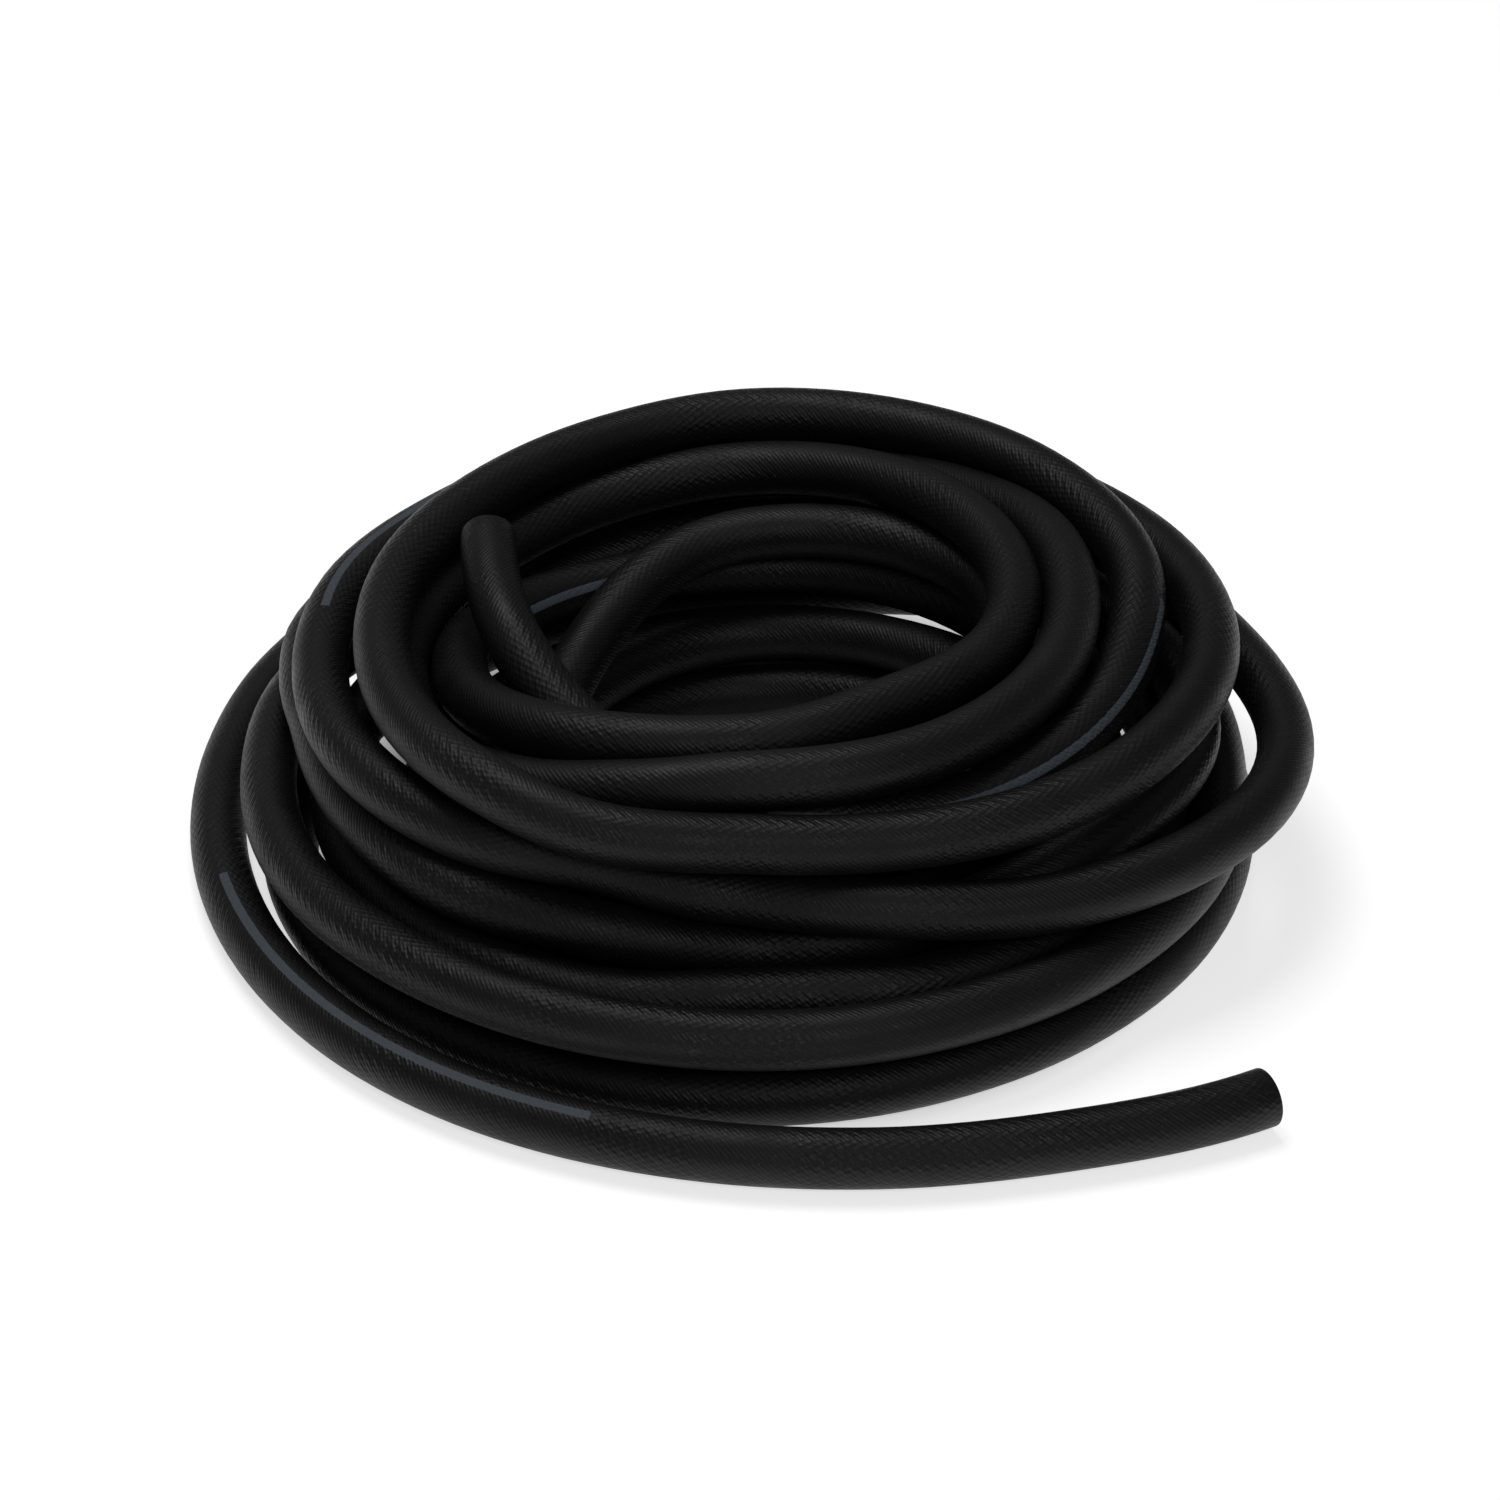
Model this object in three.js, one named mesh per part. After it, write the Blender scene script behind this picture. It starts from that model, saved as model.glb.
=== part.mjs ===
// Heater hose: one length of half inch rubber hose, lying in a loose coil with both cut ends free.
// Millimetres, +Z up. The origin is on the floor under the middle of the coil, and the camera side is -Y.
import * as THREE from "three";

// Hose section
const BORE = 12.5;
const WALL = 4;
const OUTSIDE = BORE + 2 * WALL;
const OUTER_SIDES = 10;
const BORE_SIDES = 6;

// Lay of the coil
const AXIS = new THREE.Vector2(1.1, -3.9); // where the coil's axis meets the floor
const STEPS = 294; // 19 to a turn
const START_ANGLE = 152; // degrees: 0 right, 90 back, 180 left, 270 front
const END_ANGLE = 5717.6;
const FLOOR = OUTSIDE / 2; // height of the centreline of a turn that lies on the floor

// The centreline from the free end on top to the free end on the floor, turn after turn.
// Each row is a place on it: degrees travelled round the axis, radius and height.
const LAY = [
  // free end on top, then down into the hollow of the coil
  [152, 108, 103.4], [163, 97.5, 101], [180, 86, 96], [198, 76, 86], [225, 66, 74], [270, 58, 73],
  [315, 70, 73], [360, 92, 73], [382, 103, 73], [405, 112.5, 73], [427, 112, 72.8], [450, 104, 72.5],
  [462, 98.5, 70.5], [475, 89.5, 67.5], [495, 78, 61], [517, 72, 56],
  // inner wall, third layer down to the second
  [540, 72.5, 53.5], [585, 77, 52.5], [605, 79, 52.3], [630, 82, 52.3], [675, 90, 52.5],
  [698, 93, 51.5], [720, 96, 48.5], [765, 100, 38], [810, 98, 31.3], [855, 85, 31.3],
  // inner wall, second layer down to the floor
  [900, 77, 31.3], [945, 79, 31.3], [990, 82, 31.3], [1035, 84.5, 31.3], [1047, 85.5, 31],
  [1057, 87.5, 30.3], [1080, 91.5, 26.5], [1125, 93, 17], [1170, 90, FLOOR], [1215, 82, FLOOR],
  // three turns on the floor, each outside the last
  [1260, 79, FLOOR], [1305, 83, FLOOR], [1350, 88, FLOOR], [1372, 89.5, FLOOR], [1395, 89.5, FLOOR],
  [1407, 90, FLOOR], [1417, 93, FLOOR], [1440, 104.5, FLOOR], [1485, 116, FLOOR], [1530, 112, FLOOR],
  [1575, 104, FLOOR], [1620, 101, FLOOR], [1665, 105, FLOOR], [1710, 109, FLOOR], [1732, 109.8, FLOOR],
  [1755, 109.6, FLOOR], [1767, 111, FLOOR], [1778, 115, FLOOR], [1800, 127, FLOOR], [1845, 137, FLOOR],
  [1890, 134, FLOOR], [1935, 127, FLOOR], [1980, 123, FLOOR], [2025, 127, FLOOR], [2070, 131, FLOOR],
  // up through the layers at the right and the back to the top
  [2092, 131.5, FLOOR], [2115, 131.7, 13.3], [2127, 129.7, 19], [2137, 129, 24.2], [2150, 129.5, 29.3],
  [2160, 129.5, 31.2], [2182, 125.5, 39.5], [2205, 120, 50], [2227, 117, 52], [2250, 113.5, 52],
  [2272, 112.5, 53], [2295, 113, 57], [2322, 109, 68], [2340, 103.5, 75], [2363, 97.6, 85.4],
  [2385, 89.8, 93], [2405, 79, 94.6],
  // smallest ring of the top layer
  [2430, 70, 94], [2475, 67, 94], [2520, 91, 94], [2565, 114.5, 93.5], [2588, 127.5, 89],
  [2610, 137.5, 82], [2633, 136, 77], [2655, 132, 74], [2687, 128.5, 73.5], [2700, 125.5, 73.5],
  [2725, 118, 74.5], [2745, 108.5, 80.5], [2765, 99.3, 88.5],
  // second ring of the top layer, under the others at the back and left
  [2790, 93, 94], [2835, 99, 94], [2880, 113.5, 94], [2895, 120.5, 94], [2914, 130.5, 92],
  [2933, 140, 84.5], [2950, 148, 77], [2970, 155, 70.5], [2983, 153, 66.5], [2992, 150.5, 62.5],
  [3000, 149.5, 59], [3015, 146, 54.5], [3032, 134, 52], [3060, 106, 52], [3082, 98, 58],
  [3105, 94, 66], [3123, 87.5, 71],
  // large ring of the top layer, whose back is the top of the coil
  [3150, 82, 73], [3195, 106, 73], [3240, 134.5, 82], [3262, 151, 89.5], [3285, 157.2, 94],
  [3308, 160.5, 94], [3330, 158, 94], [3352, 147.5, 94], [3375, 139, 94], [3397, 134.8, 94],
  [3420, 131, 94], [3445, 130, 93.5], [3465, 129.5, 93.5], [3483, 122.8, 86],
  // fourth layer, outer wall
  [3502, 112, 81], [3512, 109.5, 79.5], [3532, 114, 77.5], [3555, 131, 79], [3578, 149, 80.5],
  [3600, 164.5, 81], [3622, 173.5, 78.5], [3645, 176.5, 76], [3690, 177, 74], [3712, 168, 74],
  [3735, 163, 74], [3757, 162, 73.5], [3780, 154, 73], [3805, 144, 73.5], [3824, 131, 70],
  [3843, 111.5, 63.5], [3862, 108.5, 58.5],
  // third layer, outer wall, standing out at the right
  [3872, 109.5, 57.5], [3892, 125, 57.5], [3915, 151, 54], [3931, 173, 55.5], [3945, 188, 55.5],
  [3960, 193, 53], [3980, 188, 52.3], [4005, 183, 52], [4050, 177, 52], [4095, 178, 52],
  [4117, 176, 52], [4128, 167, 52], [4140, 155.5, 51.5], [4165, 145.5, 52.5], [4184, 140, 52],
  [4203, 127.5, 48.5], [4222, 113, 38],
  // second and third layers at the front and right
  [4232, 109.5, 35.5], [4252, 113.5, 38], [4275, 127.5, 46.5], [4290, 138, 51], [4320, 160, 53],
  [4365, 156, 53], [4387, 153, 52.5], [4400, 151, 51.5], [4410, 150.5, 49.5], [4432, 149, 42],
  [4455, 148, 34.5], [4500, 150, 31.3], [4545, 144, 31.3], [4568, 140.5, 31.3],
  // second layer, in the dark behind the outer wall
  [4590, 131.5, 31.3], [4613, 136.5, 31.3], [4635, 142.5, 31.5], [4647, 146.3, 31.5],
  [4657, 148.8, 31.3], [4680, 150.7, 31.5], [4700, 154, 31.3], [4725, 152.5, 31.3],
  [4747, 154.5, 31.5], [4770, 163.5, 31.3], [4815, 173, 31.3],
  // second layer, outer wall
  [4840, 180, 31.3], [4860, 175.5, 31.3], [4882, 170.5, 33.5], [4905, 165, 36], [4930, 161, 36],
  [4950, 157, 33], [4975, 158.7, 32.5], [4998, 163.5, 32.3], [5018, 169.5, 34], [5040, 170.5, 34],
  [5063, 175.5, 33], [5085, 175.5, 28.5], [5107, 169.5, 15.5], [5130, 163, FLOOR], [5175, 161, FLOOR],
  // outer turn on the floor
  [5220, 168, FLOOR], [5245, 165.5, FLOOR], [5270, 161, FLOOR], [5310, 158.2, FLOOR],
  [5335, 158.8, FLOOR], [5355, 162.3, FLOOR], [5375, 168, FLOOR], [5400, 175, FLOOR],
  [5445, 190, FLOOR], [5490, 198.5, FLOOR], [5512, 208, FLOOR], [5535, 213, FLOOR],
  [5550, 208.5, FLOOR], [5565, 201.2, FLOOR],
  // last half turn, lying apart on the floor, and its free end
  [5580, 195.3, FLOOR], [5602, 189.2, FLOOR], [5627, 185.4, FLOOR], [5648, 184.7, FLOOR],
  [5665, 187.5, FLOOR], [5682, 195, FLOOR], [5700, 209.8, FLOOR], [5717.6, 235, FLOOR],
];

// Smooth value of a column of LAY at an angle: each place's slope is that between its two neighbours.
function smooth(angle, column) {
  const last = LAY.length - 1;
  const next = LAY.findIndex((place) => place[0] > angle);
  const i = next < 0 ? last - 1 : Math.max(next - 1, 0);
  const slope = (k) => {
    const before = LAY[Math.max(k - 1, 0)];
    const after = LAY[Math.min(k + 1, last)];
    return (after[column] - before[column]) / (after[0] - before[0]);
  };
  const span = LAY[i + 1][0] - LAY[i][0];
  const t = (angle - LAY[i][0]) / span;
  const rise = t * t * (3 - 2 * t);
  const leave = t * (1 - t) * (1 - t) * span * slope(i);
  const arrive = t * t * (t - 1) * span * slope(i + 1);
  return LAY[i][column] * (1 - rise) + LAY[i + 1][column] * rise + leave + arrive;
}

// The centreline, stepped by equal angles so that the joints of neighbouring turns lie side by side.
class HoseCentreline extends THREE.Curve {
  getPoint(t, target = new THREE.Vector3()) {
    const angle = START_ANGLE + t * (END_ANGLE - START_ANGLE);
    const radius = smooth(angle, 1);
    const turned = THREE.MathUtils.degToRad(angle);
    const x = AXIS.x + radius * Math.cos(turned);
    const y = AXIS.y + radius * Math.sin(turned);
    return target.set(x, y, Math.max(smooth(angle, 2), FLOOR));
  }

  getUtoTmapping(u) {
    return u;
  }

  // Sections stand upright all along, so the hose has no twist and its lowest edge lies on the floor.
  computeFrenetFrames(steps) {
    const up = new THREE.Vector3(0, 0, 1);
    const frames = { tangents: [], normals: [], binormals: [] };
    for (let k = 0; k <= steps; k++) {
      const tangent = this.getTangent(k / steps);
      const normal = new THREE.Vector3().crossVectors(up, tangent).normalize();
      frames.tangents.push(tangent);
      frames.normals.push(normal);
      frames.binormals.push(new THREE.Vector3().crossVectors(tangent, normal));
    }
    return frames;
  }
}

function ring(diameter, sides) {
  const corners = [];
  for (let k = 0; k < sides; k++) {
    const turned = Math.PI / 2 + (k / sides) * 2 * Math.PI;
    corners.push(new THREE.Vector2((diameter / 2) * Math.cos(turned), (diameter / 2) * Math.sin(turned)));
  }
  return corners;
}

function heaterHose() {
  const section = new THREE.Shape(ring(OUTSIDE, OUTER_SIDES));
  section.holes.push(new THREE.Path(ring(BORE, BORE_SIDES)));
  const geometry = new THREE.ExtrudeGeometry(section, {
    steps: STEPS,
    extrudePath: new HoseCentreline(),
  });
  const rubber = new THREE.MeshStandardMaterial({ color: 0x1c1d1e, roughness: 0.75, metalness: 0 });
  const mesh = new THREE.Mesh(geometry, rubber);
  mesh.name = "heater_hose";
  return mesh;
}

const part = new THREE.Group();
part.name = "coiled_heater_hose";
part.add(heaterHose());

export default part;
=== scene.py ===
import math

import bpy
import numpy as np
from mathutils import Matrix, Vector


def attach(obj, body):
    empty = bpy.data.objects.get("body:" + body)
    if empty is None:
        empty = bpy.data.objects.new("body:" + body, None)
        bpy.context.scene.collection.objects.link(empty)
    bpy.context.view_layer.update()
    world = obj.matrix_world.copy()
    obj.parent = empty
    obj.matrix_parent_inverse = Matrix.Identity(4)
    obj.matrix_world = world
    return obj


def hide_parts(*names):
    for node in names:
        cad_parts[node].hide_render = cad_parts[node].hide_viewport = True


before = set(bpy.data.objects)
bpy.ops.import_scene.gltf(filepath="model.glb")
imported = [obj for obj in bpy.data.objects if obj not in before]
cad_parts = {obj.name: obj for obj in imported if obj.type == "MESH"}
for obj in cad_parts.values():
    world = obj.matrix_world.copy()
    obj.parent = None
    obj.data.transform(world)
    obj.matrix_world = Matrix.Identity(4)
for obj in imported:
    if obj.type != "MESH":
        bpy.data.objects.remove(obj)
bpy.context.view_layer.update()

MM = 0.001


# Camera of the photograph

LENS = 100
ELEVATION = math.radians(34)
CAMERA_DISTANCE = 1590 * MM
AIM = Vector((1.1, 61.1, 0)) * MM  # on the floor, 65 mm behind the coil's axis


def make_camera():
    camera = bpy.data.objects.new("camera", bpy.data.cameras.new("camera"))
    camera.data.lens = LENS
    camera.data.sensor_width = 36
    back = Vector((0, -math.cos(ELEVATION), math.sin(ELEVATION)))
    camera.location = AIM + back * CAMERA_DISTANCE
    camera.rotation_euler = (math.pi / 2 - ELEVATION, 0, 0)
    bpy.context.collection.objects.link(camera)
    bpy.context.scene.camera = camera


make_camera()


# The hose as it lies: section, and route from the free end on top to the one on the floor

BORE = 12.5
WALL = 4
OUTSIDE = BORE + 2 * WALL
AXIS = (1.1, -3.9)
FLOOR = OUTSIDE / 2

# Degrees travelled round the coil's axis, radius and height of the centreline, as in the part
LAY = [
    # free end on top, then down into the hollow of the coil
    (152, 108, 103.4), (163, 97.5, 101), (180, 86, 96), (198, 76, 86), (225, 66, 74), (270, 58, 73),
    (315, 70, 73), (360, 92, 73), (382, 103, 73), (405, 112.5, 73), (427, 112, 72.8), (450, 104, 72.5),
    (462, 98.5, 70.5), (475, 89.5, 67.5), (495, 78, 61), (517, 72, 56),
    # inner wall, third layer down to the second
    (540, 72.5, 53.5), (585, 77, 52.5), (605, 79, 52.3), (630, 82, 52.3), (675, 90, 52.5),
    (698, 93, 51.5), (720, 96, 48.5), (765, 100, 38), (810, 98, 31.3), (855, 85, 31.3),
    # inner wall, second layer down to the floor
    (900, 77, 31.3), (945, 79, 31.3), (990, 82, 31.3), (1035, 84.5, 31.3), (1047, 85.5, 31),
    (1057, 87.5, 30.3), (1080, 91.5, 26.5), (1125, 93, 17), (1170, 90, FLOOR), (1215, 82, FLOOR),
    # three turns on the floor, each outside the last
    (1260, 79, FLOOR), (1305, 83, FLOOR), (1350, 88, FLOOR), (1372, 89.5, FLOOR), (1395, 89.5, FLOOR),
    (1407, 90, FLOOR), (1417, 93, FLOOR), (1440, 104.5, FLOOR), (1485, 116, FLOOR), (1530, 112, FLOOR),
    (1575, 104, FLOOR), (1620, 101, FLOOR), (1665, 105, FLOOR), (1710, 109, FLOOR),
    (1732, 109.8, FLOOR), (1755, 109.6, FLOOR), (1767, 111, FLOOR), (1778, 115, FLOOR),
    (1800, 127, FLOOR), (1845, 137, FLOOR), (1890, 134, FLOOR), (1935, 127, FLOOR), (1980, 123, FLOOR),
    (2025, 127, FLOOR), (2070, 131, FLOOR),
    # up through the layers at the right and the back to the top
    (2092, 131.5, FLOOR), (2115, 131.7, 13.3), (2127, 129.7, 19), (2137, 129, 24.2),
    (2150, 129.5, 29.3), (2160, 129.5, 31.2), (2182, 125.5, 39.5), (2205, 120, 50), (2227, 117, 52),
    (2250, 113.5, 52), (2272, 112.5, 53), (2295, 113, 57), (2322, 109, 68), (2340, 103.5, 75),
    (2363, 97.6, 85.4), (2385, 89.8, 93), (2405, 79, 94.6),
    # smallest ring of the top layer
    (2430, 70, 94), (2475, 67, 94), (2520, 91, 94), (2565, 114.5, 93.5), (2588, 127.5, 89),
    (2610, 137.5, 82), (2633, 136, 77), (2655, 132, 74), (2687, 128.5, 73.5), (2700, 125.5, 73.5),
    (2725, 118, 74.5), (2745, 108.5, 80.5), (2765, 99.3, 88.5),
    # second ring of the top layer, under the others at the back and left
    (2790, 93, 94), (2835, 99, 94), (2880, 113.5, 94), (2895, 120.5, 94), (2914, 130.5, 92),
    (2933, 140, 84.5), (2950, 148, 77), (2970, 155, 70.5), (2983, 153, 66.5), (2992, 150.5, 62.5),
    (3000, 149.5, 59), (3015, 146, 54.5), (3032, 134, 52), (3060, 106, 52), (3082, 98, 58),
    (3105, 94, 66), (3123, 87.5, 71),
    # large ring of the top layer, whose back is the top of the coil
    (3150, 82, 73), (3195, 106, 73), (3240, 134.5, 82), (3262, 151, 89.5), (3285, 157.2, 94),
    (3308, 160.5, 94), (3330, 158, 94), (3352, 147.5, 94), (3375, 139, 94), (3397, 134.8, 94),
    (3420, 131, 94), (3445, 130, 93.5), (3465, 129.5, 93.5), (3483, 122.8, 86),
    # fourth layer, outer wall
    (3502, 112, 81), (3512, 109.5, 79.5), (3532, 114, 77.5), (3555, 131, 79), (3578, 149, 80.5),
    (3600, 164.5, 81), (3622, 173.5, 78.5), (3645, 176.5, 76), (3690, 177, 74), (3712, 168, 74),
    (3735, 163, 74), (3757, 162, 73.5), (3780, 154, 73), (3805, 144, 73.5), (3824, 131, 70),
    (3843, 111.5, 63.5), (3862, 108.5, 58.5),
    # third layer, outer wall, standing out at the right
    (3872, 109.5, 57.5), (3892, 125, 57.5), (3915, 151, 54), (3931, 173, 55.5), (3945, 188, 55.5),
    (3960, 193, 53), (3980, 188, 52.3), (4005, 183, 52), (4050, 177, 52), (4095, 178, 52),
    (4117, 176, 52), (4128, 167, 52), (4140, 155.5, 51.5), (4165, 145.5, 52.5), (4184, 140, 52),
    (4203, 127.5, 48.5), (4222, 113, 38),
    # second and third layers at the front and right
    (4232, 109.5, 35.5), (4252, 113.5, 38), (4275, 127.5, 46.5), (4290, 138, 51), (4320, 160, 53),
    (4365, 156, 53), (4387, 153, 52.5), (4400, 151, 51.5), (4410, 150.5, 49.5), (4432, 149, 42),
    (4455, 148, 34.5), (4500, 150, 31.3), (4545, 144, 31.3), (4568, 140.5, 31.3),
    # second layer, in the dark behind the outer wall
    (4590, 131.5, 31.3), (4613, 136.5, 31.3), (4635, 142.5, 31.5), (4647, 146.3, 31.5),
    (4657, 148.8, 31.3), (4680, 150.7, 31.5), (4700, 154, 31.3), (4725, 152.5, 31.3),
    (4747, 154.5, 31.5), (4770, 163.5, 31.3), (4815, 173, 31.3),
    # second layer, outer wall
    (4840, 180, 31.3), (4860, 175.5, 31.3), (4882, 170.5, 33.5), (4905, 165, 36), (4930, 161, 36),
    (4950, 157, 33), (4975, 158.7, 32.5), (4998, 163.5, 32.3), (5018, 169.5, 34), (5040, 170.5, 34),
    (5063, 175.5, 33), (5085, 175.5, 28.5), (5107, 169.5, 15.5), (5130, 163, FLOOR),
    (5175, 161, FLOOR),
    # outer turn on the floor
    (5220, 168, FLOOR), (5245, 165.5, FLOOR), (5270, 161, FLOOR), (5310, 158.2, FLOOR),
    (5335, 158.8, FLOOR), (5355, 162.3, FLOOR), (5375, 168, FLOOR), (5400, 175, FLOOR),
    (5445, 190, FLOOR), (5490, 198.5, FLOOR), (5512, 208, FLOOR), (5535, 213, FLOOR),
    (5550, 208.5, FLOOR), (5565, 201.2, FLOOR),
    # last half turn, lying apart on the floor, and its free end
    (5580, 195.3, FLOOR), (5602, 189.2, FLOOR), (5627, 185.4, FLOOR), (5648, 184.7, FLOOR),
    (5665, 187.5, FLOOR), (5682, 195, FLOOR), (5700, 209.8, FLOOR), (5717.6, 235, FLOOR),
]

FINE_STEP = 0.25  # degrees between the points that measure the route
RING_SPACING = 8
OUTER_SIDES = 40
BORE_SIDES = OUTER_SIDES // 2


def smooth(angles, column):
    """Values of a column of LAY at the angles: each place's slope is that between its two neighbours."""
    places = np.array(LAY)
    x, y = places[:, 0], places[:, column]
    before = np.maximum(np.arange(len(x)) - 1, 0)
    after = np.minimum(np.arange(len(x)) + 1, len(x) - 1)
    slope = (y[after] - y[before]) / (x[after] - x[before])
    i = np.clip(np.searchsorted(x, angles, side="right") - 1, 0, len(x) - 2)
    span = x[i + 1] - x[i]
    t = (angles - x[i]) / span
    rise = t * t * (3 - 2 * t)
    leave = t * (1 - t) ** 2 * span * slope[i]
    arrive = t * t * (t - 1) * span * slope[i + 1]
    return y[i] * (1 - rise) + y[i + 1] * rise + leave + arrive


def places_at(angles):
    """Centreline points at the angles, in millimetres."""
    radius = smooth(angles, 1)
    turned = np.radians(angles)
    x = AXIS[0] + radius * np.cos(turned)
    y = AXIS[1] + radius * np.sin(turned)
    return np.stack([x, y, np.maximum(smooth(angles, 2), FLOOR)], axis=1)


def step_lengths(points):
    return np.linalg.norm(np.diff(points, axis=0), axis=1)


class Route:
    """The centreline at even steps of its own length, with the directions of each section."""

    def __init__(self):
        angles = np.arange(LAY[0][0], LAY[-1][0], FINE_STEP)
        self.angles = np.append(angles, LAY[-1][0])
        fine = places_at(self.angles)
        self.lengths = np.concatenate([[0], np.cumsum(step_lengths(fine))])
        self.total = self.lengths[-1]
        self.steps = round(self.total / RING_SPACING)
        self.along = np.linspace(0, self.total, self.steps + 1)
        self.points = places_at(np.interp(self.along, self.lengths, self.angles))
        ahead = np.gradient(self.points, axis=0)
        self.ahead = ahead / np.linalg.norm(ahead, axis=1)[:, None]
        outward = np.cross(self.ahead, (0, 0, 1))
        self.outward = outward / np.linalg.norm(outward, axis=1)[:, None]
        self.top = np.cross(self.outward, self.ahead)

    def length_at(self, angle):
        return np.interp(angle, self.angles, self.lengths)


route = Route()


# The hose's surface

EDGE = 0.5  # rounding of the cut outer edge
EDGE_ROUND = (0, 30, 60)  # degrees of that rounding at which it has a ring
LIP = 0.3  # chamfer of the cut edge of the bore
OUTSIDE_FACES, CUT_FACES, BORE_FACES = range(3)


def ring(i, radius, sides, sunk=0):
    """Points of one ring, from the seam underneath round by the inner side.

    sunk is its depth behind a cut end.
    """
    turned = np.linspace(-math.pi, math.pi, sides, endpoint=False)
    inwards = 1 if i == 0 else -1
    centre = route.points[i] + route.ahead[i] * sunk * inwards
    across = np.outer(np.cos(turned), route.top[i]) + np.outer(np.sin(turned), route.outward[i])
    return centre + radius * across


class Surface:
    """Rings joined by faces.

    Each corner of a face keeps its place: ring along the hose, radius, and share of the way round.
    """

    def __init__(self):
        self.points = []
        self.faces = []
        self.kinds = []
        self.corners = []
        self.count = 0

    def add_ring(self, i, radius, sides, sunk=0):
        self.points.append(ring(i, radius, sides, sunk))
        self.count += sides
        return {"start": self.count - sides, "sides": sides, "i": i, "radius": radius}

    def face(self, kind, *corners):
        """One face. A corner is its ring and its number in it, which is one past the last at the seam."""
        self.faces.append([row["start"] + k % row["sides"] for row, k in corners])
        self.corners.extend((row["i"], row["radius"], k / row["sides"]) for row, k in corners)
        self.kinds.append(kind)

    def join(self, kind, a, b):
        """Faces from ring a to ring b, which has as many sides, or half or twice as many."""
        if a["sides"] == b["sides"]:
            for k in range(a["sides"]):
                self.face(kind, (a, k), (a, k + 1), (b, k + 1), (b, k))
        elif a["sides"] > b["sides"]:
            for k in range(b["sides"]):
                self.face(kind, (a, 2 * k), (a, 2 * k + 1), (b, k))
                self.face(kind, (a, 2 * k + 1), (b, k + 1), (b, k))
                self.face(kind, (a, 2 * k + 1), (a, 2 * k + 2), (b, k + 1))
        else:
            for k in range(a["sides"]):
                self.face(kind, (a, k), (b, 2 * k + 1), (b, 2 * k))
                self.face(kind, (a, k), (a, k + 1), (b, 2 * k + 1))
                self.face(kind, (a, k + 1), (b, 2 * k + 2), (b, 2 * k + 1))


def cut_edge(surface, i):
    """Rings of the rounded outer edge at a cut end, from the flat face outwards."""
    rows = []
    for degrees in EDGE_ROUND:
        turned = math.radians(degrees)
        radius = OUTSIDE / 2 - EDGE * (1 - math.sin(turned))
        rows.append(surface.add_ring(i, radius, OUTER_SIDES, EDGE * (1 - math.cos(turned))))
    return rows


def hose_surface():
    """The outside from the first cut face to the last, and back through the bore."""
    surface = Surface()
    last = route.steps
    ends = (0, last)
    outer = cut_edge(surface, 0)
    for i in range(last + 1):
        outer.append(surface.add_ring(i, OUTSIDE / 2, OUTER_SIDES, EDGE if i in ends else 0))
    outer.extend(reversed(cut_edge(surface, last)))
    bore = [surface.add_ring(last, BORE / 2 + LIP, BORE_SIDES)]
    for i in range(last, -1, -1):
        bore.append(surface.add_ring(i, BORE / 2, BORE_SIDES, LIP if i in ends else 0))
    bore.append(surface.add_ring(0, BORE / 2 + LIP, BORE_SIDES))
    for a, b in zip(outer, outer[1:]):
        surface.join(OUTSIDE_FACES, a, b)
    surface.join(CUT_FACES, outer[-1], bore[0])
    for a, b in zip(bore, bore[1:]):
        surface.join(BORE_FACES, a, b)
    surface.join(CUT_FACES, bore[-1], outer[0])
    return surface


# Maps: where a corner lies on the hose, where it lies by the printed bars, and its place on the bake's sheet

GIRTH = math.pi * OUTSIDE
SHEET = 960  # width of hose surface that the bake's sheet has room for
STRIPS = 14  # the outside lies on that sheet in as many strips
STRIP_PITCH = 67
BORE_PLACE = (0.962, 0.994)  # the bore, squeezed into a column at the sheet's edge
BORE_COLUMN = 0.99  # height of that column
DISC_PLACES = ((880, 13), (902, 13))  # middles of the two cut faces, behind the last strip

BAR_LENGTH = 198
BAR_WIDTH = 3.2
# Each bar: degrees travelled where it ends, then the degrees outwards from the top at which it lies, at its
# start, middle and end
BARS = [
    (2362, (-48, -70, -115)),
    (3251.5, (55, 52, 60)),
    (3767, (-25, 4, 0)),
    (4090, (48, 52, 55)),
    (5480, (55, 60, 52)),
    (5653.7, (11, 14, 16)),
]


def through(three, t):
    """Value at t of the parabola through three values at 0, a half and 1."""
    first, middle, end = three
    return first * (2 * t - 1) * (t - 1) + middle * 4 * t * (1 - t) + end * t * (2 * t - 1)


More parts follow.
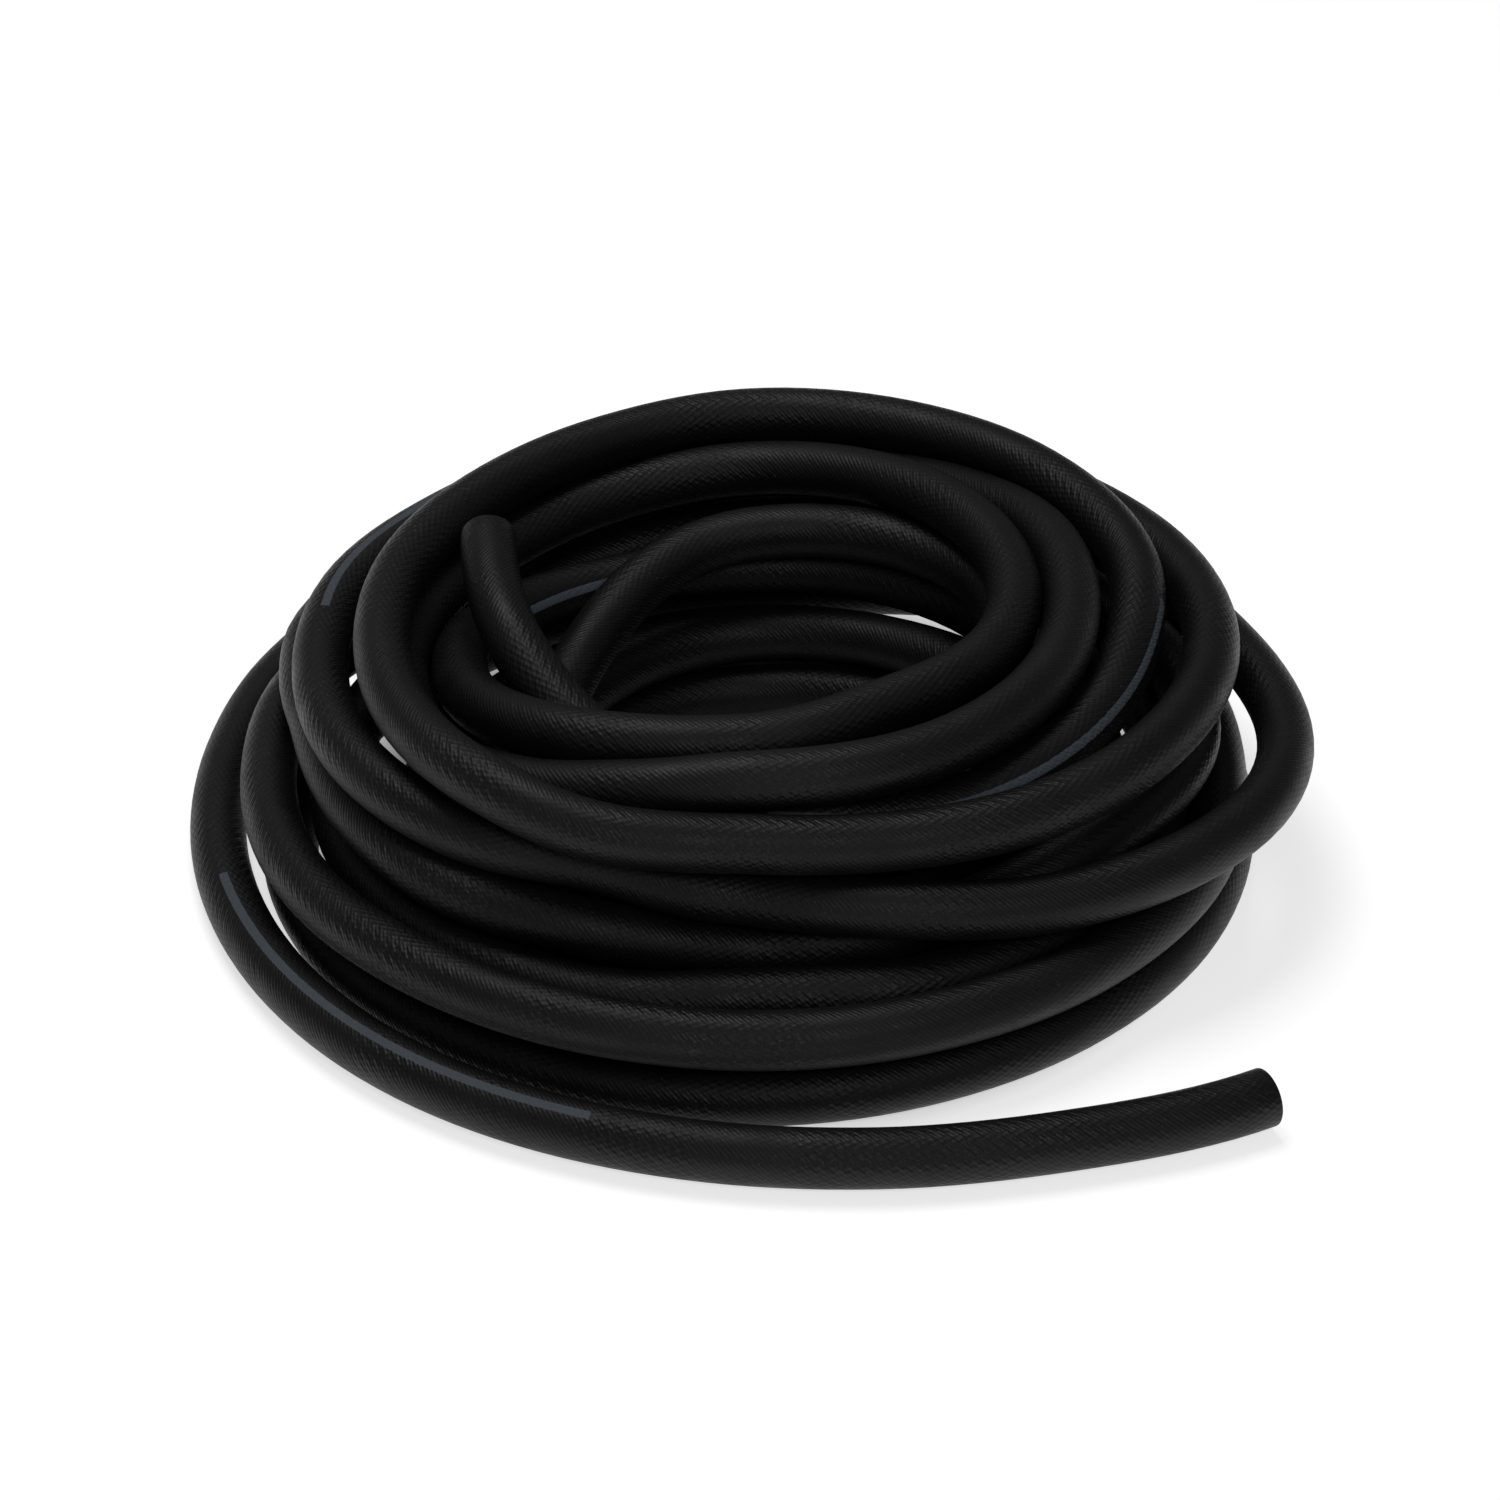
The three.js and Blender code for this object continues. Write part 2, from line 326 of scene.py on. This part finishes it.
def corner_maps(surface):
    """The three maps of the surface's corners, each two columns."""
    i, radius, share = np.array(surface.corners).T
    i = i.astype(int)
    sizes = [len(face) for face in surface.faces]
    kind = np.repeat(surface.kinds, sizes)
    first = np.repeat(i[np.cumsum([0] + sizes[:-1])], sizes)
    along = route.along[i]
    lay = np.stack([np.where(kind == CUT_FACES, radius, along), share * GIRTH], axis=1)

    ends = np.array([route.length_at(angle) for angle, _ in BARS])
    middles = ends - BAR_LENGTH / 2
    nearest = np.abs(route.along[first][:, None] - middles).argmin(axis=1)
    t = (along - middles[nearest]) / BAR_LENGTH + 0.5
    bends = np.array([bend for _, bend in BARS])
    line = through(bends[nearest].T, np.clip(t, 0, 1))
    print_map = np.stack([(t - 0.5) * BAR_LENGTH, (share - 0.5 - line / 360) * GIRTH], axis=1)

    per_strip = math.ceil(route.steps / STRIPS)
    strip = np.minimum(first // per_strip, STRIPS - 1)
    strip_start = strip * per_strip * route.total / route.steps
    bake = np.stack([along - strip_start, strip * STRIP_PITCH + share * GIRTH], axis=1) / SHEET
    low, high = BORE_PLACE
    column = np.stack([low + (high - low) * share, along / route.total * BORE_COLUMN], axis=1)
    bake = np.where((kind == BORE_FACES)[:, None], column, bake)
    turned = share * 2 * math.pi
    middle = np.array(DISC_PLACES)[(i > 0).astype(int)] + (0, (STRIPS - 1) * STRIP_PITCH)
    disc = middle + radius[:, None] * np.stack([np.cos(turned), np.sin(turned)], axis=1)
    bake = np.where((kind == CUT_FACES)[:, None], disc / SHEET, bake)
    return {"lay": lay, "print": print_map, "OFBake": bake}


# Materials: node helpers


class Nodes:
    """Short calls for a material's nodes. A value is a number, a colour or another node's output."""

    def __init__(self, name):
        self.material = bpy.data.materials.new(name)
        self.material.use_nodes = True
        self.tree = self.material.node_tree
        self.shader = self.tree.nodes["Principled BSDF"]

    def put(self, socket, value):
        if isinstance(value, bpy.types.NodeSocket):
            self.tree.links.new(value, socket)
        else:
            socket.default_value = value

    def add(self, kind, settings=None, **inputs):
        node = self.tree.nodes.new("ShaderNode" + kind)
        for name, value in (settings or {}).items():
            setattr(node, name, value)
        for name, value in inputs.items():
            self.put(node.inputs[name.replace("_", " ")], value)
        return node

    def maths(self, operation, *values):
        node = self.add("Math", {"operation": operation})
        for socket, value in zip(node.inputs, values):
            self.put(socket, value)
        return node.outputs[0]

    def map_columns(self, name):
        """The two columns of one of the piece's maps."""
        uv = self.add("UVMap", {"uv_map": name})
        split = self.add("SeparateXYZ", Vector=uv.outputs[0])
        return split.outputs[0], split.outputs[1]

    def noise(self, scale, detail=2.0, roughness=0.5):
        """Noise of that many waves a metre, over the object's own space."""
        space = self.add("TexCoord").outputs["Object"]
        node = self.add("TexNoise", Vector=space, Scale=scale, Detail=detail, Roughness=roughness)
        return node.outputs[0]

    def ramp(self, value, low, high, start=0.0, end=1.0):
        """start to end as value goes from low to high, held beyond them."""
        node = self.add("MapRange", Value=value)
        for name, number in (("From Min", low), ("From Max", high), ("To Min", start), ("To Max", end)):
            self.put(node.inputs[name], number)
        return node.outputs[0]

    def blend(self, share, a, b):
        """Colour from a to b by share."""
        node = self.add("Mix", {"data_type": "RGBA"})
        self.put(node.inputs[0], share)
        self.put(node.inputs[6], a)
        self.put(node.inputs[7], b)
        return node.outputs[2]

    def wave(self, distance, pitch):
        """Cosine of a distance over a pitch."""
        return self.maths("COSINE", self.maths("MULTIPLY", distance, 2 * math.pi / pitch))

    def relief(self, height, strength=1.0):
        """Bump of a height in millimetres."""
        node = self.add("Bump", Strength=strength, Distance=MM, Height=height)
        return node.outputs[0]


# Rubber

# Heights are in millimetres
LOOPS_ROUND = 27  # knit loops round the hose
LOOP_LENGTH = 5.0
LOOP_HEIGHT = 0.08
RIBS_ROUND = 34  # starts of the fine slanted ribs
RIB_HEIGHT = 0.035
RIDGES_ROUND = 13  # starts of the wider slanted ridges
RIDGE_HEIGHT = 0.06
GRAIN_HEIGHT = 0.03
LEAST_KNIT = 0.15  # share of the knit's height that is left between its patches

# Noises, in waves a metre
PATCH_WAVES = 28  # patches where the knit shows
BLOOM_WAVES = 16  # paler areas
SHEEN_WAVES = 60  # duller areas
SPECK_WAVES = 900  # dust
GRAIN_WAVES = 2600
BAR_EDGE_WAVES = 1500
BAR_WEAR_WAVES = 1900

BAR_RAGGED = 0.5  # how much half the width of a bar varies
BAR_ROUGHNESS = 0.7
ROUGHNESS = (0.42, 0.56)
CREST_SHINE = 0.06  # how much smoother the crests of the knit are, and its hollows rougher
SPECULAR = 0.26

YARN_DEPTH = 0.45  # share of the wall at which the yarn lies, from the bore
SAW_MARKS = 60
SAW_HEIGHT = 0.005
TORN_HEIGHT = 0.08
CUT_ROUGHNESS = 0.8
CUT_SPECULAR = 0.3

DRAW_LINES = 48
DRAW_HEIGHT = 0.006
BORE_GRAIN_HEIGHT = 0.02
BORE_ROUGHNESS = 0.55

RUBBER_DARK = (0.0024, 0.0025, 0.0026, 1)
RUBBER_PALE = (0.0062, 0.0063, 0.0065, 1)
DUST = (0.04, 0.04, 0.038, 1)
PAINT = (0.085, 0.1, 0.12, 1)
YARN = (0.22, 0.20, 0.17, 1)


def slanted(nodes, along, around, starts):
    """Wave of ridges at 45 degrees, of which so many start round the hose."""
    return nodes.wave(nodes.maths("SUBTRACT", along, around), GIRTH / starts)


def hose_rubber():
    """The outside: knit showing through the cover, in patches, dust, and the printed bars."""
    nodes = Nodes("hose_rubber")
    along, around = nodes.map_columns("lay")
    loops = nodes.maths("MULTIPLY", nodes.wave(along, LOOP_LENGTH), nodes.wave(around, GIRTH / LOOPS_ROUND))
    ribs = slanted(nodes, along, around, RIBS_ROUND)
    ridges = slanted(nodes, along, around, RIDGES_ROUND)
    patches = nodes.ramp(nodes.noise(PATCH_WAVES, 3), 0.38, 0.62, LEAST_KNIT, 1.0)
    grain = nodes.noise(GRAIN_WAVES, 2)

    knit = nodes.maths("MULTIPLY_ADD", ridges, RIDGE_HEIGHT, nodes.maths("MULTIPLY", loops, LOOP_HEIGHT))
    knit = nodes.maths("MULTIPLY", knit, patches)
    height = nodes.maths("MULTIPLY_ADD", ribs, RIB_HEIGHT, knit)
    height = nodes.maths("MULTIPLY_ADD", grain, GRAIN_HEIGHT, height)
    nodes.put(nodes.shader.inputs["Normal"], nodes.relief(height))

    bloom = nodes.ramp(nodes.noise(BLOOM_WAVES, 4, 0.6), 0.35, 0.7)
    rubber = nodes.blend(bloom, RUBBER_DARK, RUBBER_PALE)
    specks = nodes.ramp(nodes.noise(SPECK_WAVES, 0), 0.78, 0.82, 0, 0.5)
    rubber = nodes.blend(specks, rubber, DUST)

    from_middle, from_line = nodes.map_columns("print")
    on_length = nodes.maths("LESS_THAN", nodes.maths("ABSOLUTE", from_middle), BAR_LENGTH / 2)
    least_half = BAR_WIDTH / 2 - BAR_RAGGED / 2
    ragged = nodes.maths("MULTIPLY_ADD", nodes.noise(BAR_EDGE_WAVES, 1), BAR_RAGGED, least_half)
    on_width = nodes.maths("LESS_THAN", nodes.maths("ABSOLUTE", from_line), ragged)
    worn = nodes.ramp(nodes.noise(BAR_WEAR_WAVES, 3, 0.7), 0.3, 0.6, 0.55, 1.0)
    paint = nodes.maths("MULTIPLY", nodes.maths("MULTIPLY", on_length, on_width), worn)
    nodes.put(nodes.shader.inputs["Base Color"], nodes.blend(paint, rubber, PAINT))

    crests = nodes.ramp(loops, -1, 1, CREST_SHINE, -CREST_SHINE)
    rough = nodes.maths("ADD", nodes.ramp(nodes.noise(SHEEN_WAVES, 4), 0.3, 0.7, *ROUGHNESS), crests)
    nodes.put(nodes.shader.inputs["Roughness"], nodes.ramp(paint, 0, 1, rough, BAR_ROUGHNESS))
    nodes.shader.inputs["Specular IOR Level"].default_value = SPECULAR
    return nodes.material


def cut_rubber():
    """The cut faces: rubber with the ends of the knit yarn in a ring inside the wall."""
    nodes = Nodes("cut_rubber")
    radius, around = nodes.map_columns("lay")
    yarn_line = BORE / 2 + WALL * YARN_DEPTH
    near = nodes.ramp(nodes.maths("ABSOLUTE", nodes.maths("SUBTRACT", radius, yarn_line)), 0.2, 0.5, 1, 0)
    ends = nodes.ramp(nodes.wave(around, GIRTH / LOOPS_ROUND), 0.0, 0.6)
    yarn = nodes.maths("MULTIPLY", near, ends)
    rubber = nodes.blend(nodes.noise(700, 3), RUBBER_DARK, RUBBER_PALE)
    nodes.put(nodes.shader.inputs["Base Color"], nodes.blend(yarn, rubber, YARN))
    saw = nodes.wave(around, GIRTH / SAW_MARKS)
    torn = nodes.maths("MULTIPLY", nodes.noise(1500, 3), TORN_HEIGHT)
    height = nodes.maths("MULTIPLY_ADD", saw, SAW_HEIGHT, torn)
    nodes.put(nodes.shader.inputs["Normal"], nodes.relief(height))
    nodes.shader.inputs["Roughness"].default_value = CUT_ROUGHNESS
    nodes.shader.inputs["Specular IOR Level"].default_value = CUT_SPECULAR
    return nodes.material


def bore_rubber():
    """The bore: smooth rubber with faint lengthwise draw lines."""
    nodes = Nodes("bore_rubber")
    along, around = nodes.map_columns("lay")
    lines = nodes.wave(around, GIRTH / DRAW_LINES)
    grain = nodes.maths("MULTIPLY", nodes.noise(900, 2), BORE_GRAIN_HEIGHT)
    height = nodes.maths("MULTIPLY_ADD", lines, DRAW_HEIGHT, grain)
    nodes.put(nodes.shader.inputs["Normal"], nodes.relief(height))
    nodes.put(nodes.shader.inputs["Base Color"], nodes.blend(nodes.noise(90, 3), RUBBER_DARK, RUBBER_PALE))
    nodes.shader.inputs["Roughness"].default_value = BORE_ROUGHNESS
    return nodes.material


def make_hose():
    surface = hose_surface()
    mesh = bpy.data.meshes.new("laid_hose")
    points = np.concatenate(surface.points) * MM
    mesh.from_pydata(points.tolist(), [], surface.faces)
    for name, columns in corner_maps(surface).items():
        mesh.uv_layers.new(name=name).data.foreach_set("uv", columns.astype(np.float32).ravel())
    for material in (hose_rubber(), cut_rubber(), bore_rubber()):
        mesh.materials.append(material)
    kinds = np.array(surface.kinds, dtype=np.int32)
    mesh.polygons.foreach_set("material_index", kinds)
    mesh.polygons.foreach_set("use_smooth", kinds != CUT_FACES)
    mesh.update()
    hose = bpy.data.objects.new("laid_hose", mesh)
    bpy.context.collection.objects.link(hose)
    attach(hose, "root")
    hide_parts("heater_hose")


make_hose()


# Floor and light

FLOOR_SIZE = 12
FLOOR_TONE = (0.82, 0.82, 0.82, 1)
FLOOR_ROUGHNESS = 0.9
FLOOR_PAINTED_LIGHT = 0.66  # painted light: the floor glows to stay white round the coil, and the glow is left out under it, where shade falls
PAINTED_LIGHT_EDGE = (0.13, 0.175)  # distances from the coil's middle between which the painted light of the floor sets in
SKY = (0.13, 0.13, 0.132, 1)
# Each softbox: name, place and side in metres, and power in watts
SOFTBOXES = [
    ("top_softbox", (-0.3, 0.4, 1.7), 0.9, 11),
    ("front_softbox", (0.4, -1.5, 1.4), 0.5, 5),
]


def make_floor():
    mesh = bpy.data.meshes.new("floor")
    half = FLOOR_SIZE / 2
    corners = [(-half, -half, 0), (half, -half, 0), (half, half, 0), (-half, half, 0)]
    mesh.from_pydata(corners, [], [(0, 1, 2, 3)])
    nodes = Nodes("floor")
    nodes.shader.inputs["Base Color"].default_value = FLOOR_TONE
    nodes.shader.inputs["Roughness"].default_value = FLOOR_ROUGHNESS
    nodes.shader.inputs["Emission Color"].default_value = (1, 1, 1, 1)
    place = nodes.add("TexCoord").outputs["Object"]
    from_middle = nodes.add("VectorMath", {"operation": "LENGTH"}, Vector=place).outputs["Value"]
    # painted light: emission keeps the floor white round the coil and is left out under it, where shade
    # falls
    nodes.put(nodes.shader.inputs["Emission Strength"], nodes.ramp(from_middle, *PAINTED_LIGHT_EDGE, 0, FLOOR_PAINTED_LIGHT))
    mesh.materials.append(nodes.material)
    floor = bpy.data.objects.new("floor", mesh)
    bpy.context.collection.objects.link(floor)


def make_sky():
    world = bpy.data.worlds.new("sky")
    world.use_nodes = True
    background = world.node_tree.nodes["Background"]
    background.inputs["Color"].default_value = SKY
    bpy.context.scene.world = world


def softbox(name, place, size, power):
    """A square area light that faces the middle of the coil's foot."""
    light = bpy.data.lights.new(name, "AREA")
    light.size = size
    light.energy = power
    lamp = bpy.data.objects.new(name, light)
    lamp.location = place
    lamp.rotation_euler = Vector(place).to_track_quat("Z", "Y").to_euler()
    bpy.context.collection.objects.link(lamp)


make_floor()
make_sky()
for name, place, size, power in SOFTBOXES:
    softbox(name, place, size, power)
bpy.context.scene.view_settings.view_transform = "Standard"
